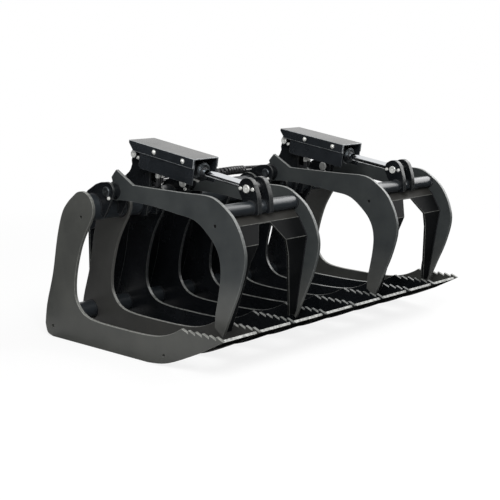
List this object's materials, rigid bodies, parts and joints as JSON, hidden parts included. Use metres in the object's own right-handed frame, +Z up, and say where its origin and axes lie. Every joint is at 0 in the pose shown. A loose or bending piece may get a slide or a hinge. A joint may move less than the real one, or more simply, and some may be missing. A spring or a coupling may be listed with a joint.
{
  "type": "root grapple",
  "caption": "Open-bottom root grapple: a tined bowl, and hydraulic arms with curved claws that close onto it under guarded cylinders.",
  "frame": {"origin": "On the ground below the middle of the bounding box", "axes": "X across the width, Y to the loader at the rear, Z up"},
  "size_m": [1.8448, 1.353, 0.955],
  "materials": {
    "frame_paint": "satin black paint",
    "side_paint": "satin black paint",
    "zinc": "zinc plated",
    "gland_metal": "machined steel, oiled",
    "chrome": "hard chrome",
    "hose_rubber": "matt",
    "sleeve_plastic": "ribbed"
  },
  "bodies": {
    "frame": {"end_plate_left": "side_paint", "tine_1": "frame_paint", "tine_2": "frame_paint", "tine_3": "frame_paint", "tine_4": "frame_paint", "tine_5": "frame_paint", "tine_6": "frame_paint", "tine_7": "frame_paint", "end_plate_right": "side_paint", "top_tube": "frame_paint", "rear_tube": "frame_paint", "lip_plate": "frame_paint", "tower_left": "frame_paint", "tower_right": "frame_paint", "pivot_ears_left": "frame_paint", "pivot_ears_right": "frame_paint", "mount_plate": "frame_paint", "mount_hook": "frame_paint", "mount_ledge": "frame_paint", "mount_braces": "frame_paint", "bulkhead": "frame_paint", "bulkhead_ports": "zinc", "pivot_pins": "zinc", "base_pin_left": "zinc", "base_pin_right": "zinc", "hoses_left": "hose_rubber", "hoses_right": "hose_rubber", "hose_sleeves": "sleeve_plastic"},
    "arm_left": {"claw_left_outer": "side_paint", "claw_left_inner": "side_paint", "claw_hubs_left": "frame_paint", "cross_tube_left": "frame_paint", "gusset_left": "frame_paint", "rod_lugs_left": "frame_paint", "rod_pin_left": "zinc", "rod_pin_bolts_left": "zinc"},
    "cylinder_left": {"barrel_left": "frame_paint", "gland_left": "gland_metal", "guard_cover_left": "frame_paint", "guard_sides_left": "frame_paint", "guard_bolts_left": "zinc", "port_fittings_left": "zinc"},
    "piston_rod_left": {"rod_left": "chrome", "rod_eye_left": "frame_paint"},
    "arm_right": {"claw_right_outer": "side_paint", "claw_right_inner": "side_paint", "claw_hubs_right": "frame_paint", "cross_tube_right": "frame_paint", "gusset_right": "frame_paint", "rod_lugs_right": "frame_paint", "rod_pin_right": "zinc", "rod_pin_bolts_right": "zinc"},
    "cylinder_right": {"barrel_right": "frame_paint", "gland_right": "gland_metal", "guard_cover_right": "frame_paint", "guard_sides_right": "frame_paint", "guard_bolts_right": "zinc", "port_fittings_right": "zinc"},
    "piston_rod_right": {"rod_right": "chrome", "rod_eye_right": "frame_paint"}
  },
  "joints": [
    {"name": "arm_hinge_left", "type": "hinge", "parent": "frame", "child": "arm_left", "pos_m": [-0.5545, 0.1395, 0.73289], "axis": [-1, 0, 0], "range_deg": [0, 60]},
    {"name": "cylinder_hinge_left", "type": "hinge", "parent": "frame", "child": "cylinder_left", "pos_m": [-0.5545, 0.2195, 0.88589], "axis": [-1, 0, 0], "range_deg": [0, 58.2], "deforming": ["hoses_left"]},
    {"name": "rod_slide_left", "type": "slide", "parent": "cylinder_left", "child": "piston_rod_left", "axis": [0, -0.9888, -0.1495], "range_m": [-0.1716, 0]},
    {"name": "arm_hinge_right", "type": "hinge", "parent": "frame", "child": "arm_right", "pos_m": [0.5545, 0.1395, 0.73289], "axis": [-1, 0, 0], "range_deg": [0, 60]},
    {"name": "cylinder_hinge_right", "type": "hinge", "parent": "frame", "child": "cylinder_right", "pos_m": [0.5545, 0.2195, 0.88589], "axis": [-1, 0, 0], "range_deg": [0, 58.2], "deforming": ["hoses_right"]},
    {"name": "rod_slide_right", "type": "slide", "parent": "cylinder_right", "child": "piston_rod_right", "axis": [0, -0.9888, -0.1495], "range_m": [-0.1716, 0]}
  ],
  "couplings": [
    {"joint": "cylinder_hinge_left", "follows": "arm_hinge_left", "ratio": 0.96807},
    {"joint": "rod_slide_left", "follows": "arm_hinge_left", "m_per_rad": -0.16361},
    {"joint": "cylinder_hinge_right", "follows": "arm_hinge_right", "ratio": 0.96807},
    {"joint": "rod_slide_right", "follows": "arm_hinge_right", "m_per_rad": -0.16361}
  ]
}
